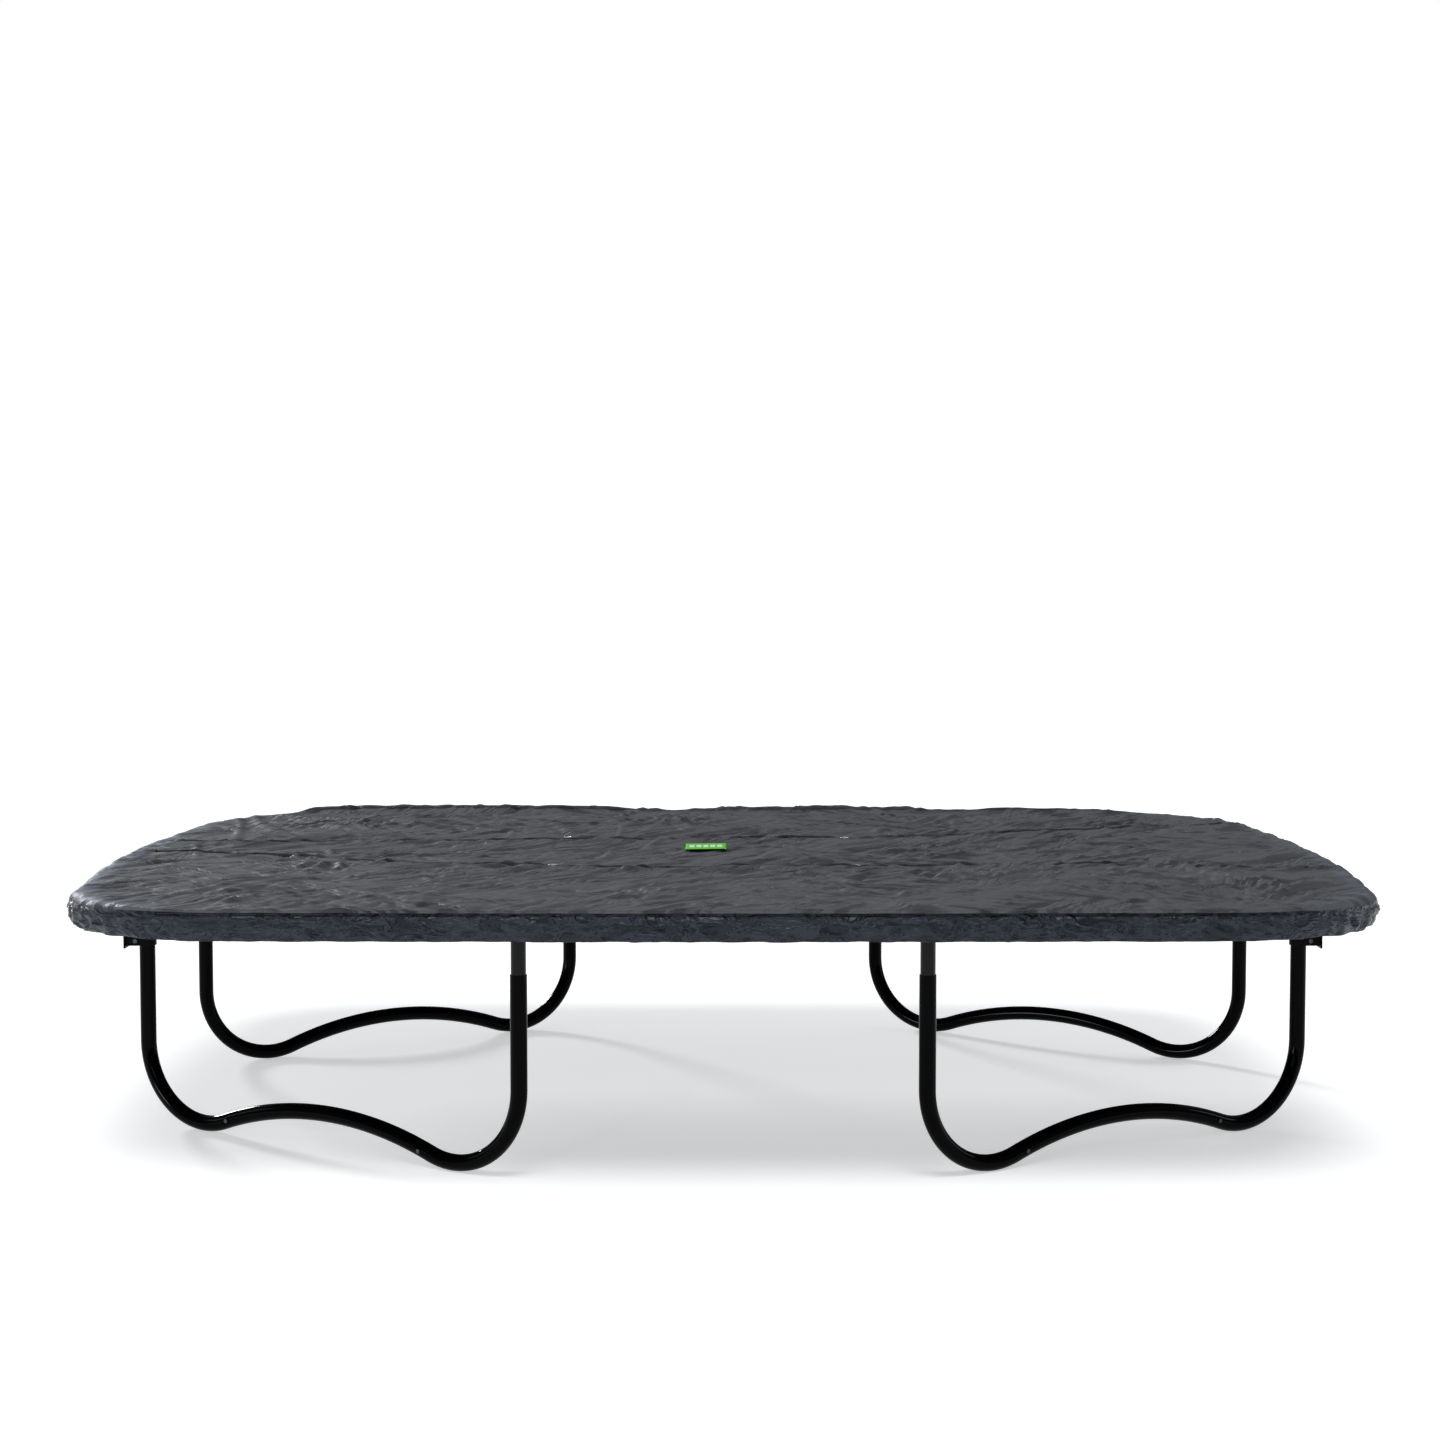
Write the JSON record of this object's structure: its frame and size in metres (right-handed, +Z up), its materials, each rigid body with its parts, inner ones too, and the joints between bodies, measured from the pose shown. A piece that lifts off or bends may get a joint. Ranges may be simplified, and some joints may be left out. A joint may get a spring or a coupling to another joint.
{
  "type": "backyard trampoline",
  "caption": "Rectangular trampoline with rounded corners on W-shaped tube legs, under a fitted dark weather cover; springs, mat and pad inside.",
  "frame": {"origin": "on the ground under the middle of the trampoline", "axes": "+X along the long side to the right, +Y towards the back, +Z up"},
  "size_m": [3.08, 2.17, 0.6203],
  "materials": {
    "frame_tube": "gloss",
    "leg_tube": "gloss",
    "socket_steel": "gloss",
    "bracket_steel": "satin",
    "zinc": "satin",
    "spring_steel": "gloss",
    "mat_fabric": "matte",
    "webbing": "matte",
    "pad_vinyl": "satin",
    "cover_sheet": "satin",
    "skirt_sheet": "satin",
    "elastic": "matte",
    "eyelet_metal": "gloss",
    "label": "satin"
  },
  "bodies": {
    "frame": {"frame_corner_front_left": "frame_tube", "frame_corner_front_right": "frame_tube", "frame_corner_back_left": "frame_tube", "frame_corner_back_right": "frame_tube", "frame_tube_front": "frame_tube", "frame_tube_back": "frame_tube", "frame_tube_left": "frame_tube", "frame_tube_right": "frame_tube", "side_socket_front_left": "socket_steel", "side_socket_front_right": "socket_steel", "side_socket_back_left": "socket_steel", "side_socket_back_right": "socket_steel", "end_socket_front_left": "socket_steel", "end_socket_front_right": "socket_steel", "end_socket_back_left": "socket_steel", "end_socket_back_right": "socket_steel", "leg_front_left_end_post": "leg_tube", "leg_front_right_end_post": "leg_tube", "leg_back_left_end_post": "leg_tube", "leg_back_right_end_post": "leg_tube", "leg_front_left_side_post": "leg_tube", "leg_front_right_side_post": "leg_tube", "leg_back_left_side_post": "leg_tube", "leg_back_right_side_post": "leg_tube", "leg_front_left_end_bend": "leg_tube", "leg_front_right_end_bend": "leg_tube", "leg_back_left_end_bend": "leg_tube", "leg_back_right_end_bend": "leg_tube", "leg_front_left_side_bend": "leg_tube", "leg_front_right_side_bend": "leg_tube", "leg_back_left_side_bend": "leg_tube", "leg_back_right_side_bend": "leg_tube", "leg_front_left_arch": "leg_tube", "leg_front_right_arch": "leg_tube", "leg_back_left_arch": "leg_tube", "leg_back_right_arch": "leg_tube", "pole_bracket_front_left": "bracket_steel", "pole_bracket_front_right": "bracket_steel", "pole_bracket_back_left": "bracket_steel", "pole_bracket_back_right": "bracket_steel", "bracket_bolts": "zinc", "leg_screws": "zinc", "springs": "spring_steel", "pad_front": "pad_vinyl", "pad_back": "pad_vinyl", "pad_left": "pad_vinyl", "pad_right": "pad_vinyl"},
    "mat": {"mat": "mat_fabric", "mat_hem": "webbing", "mat_rings": "spring_steel"},
    "cover": {"cover_panel_front": "cover_sheet", "cover_panel_middle": "cover_sheet", "cover_panel_back": "cover_sheet", "skirt_front": "skirt_sheet", "skirt_back": "skirt_sheet", "skirt_left": "skirt_sheet", "skirt_right": "skirt_sheet", "hem_elastic": "elastic", "cover_eyelets": "eyelet_metal", "cover_label": "label"}
  },
  "joints": [
    {"name": "mat_bounce", "type": "slide", "parent": "frame", "child": "mat", "axis": [0, 0, 1], "range_m": [-0.3, 0], "stiffness_N_per_m": 5000, "springref_m": 0.012, "deforming": ["springs"]},
    {"name": "cover_lift", "type": "slide", "parent": "frame", "child": "cover", "axis": [0, 0, 1], "range_m": [0, 0.5]}
  ]
}
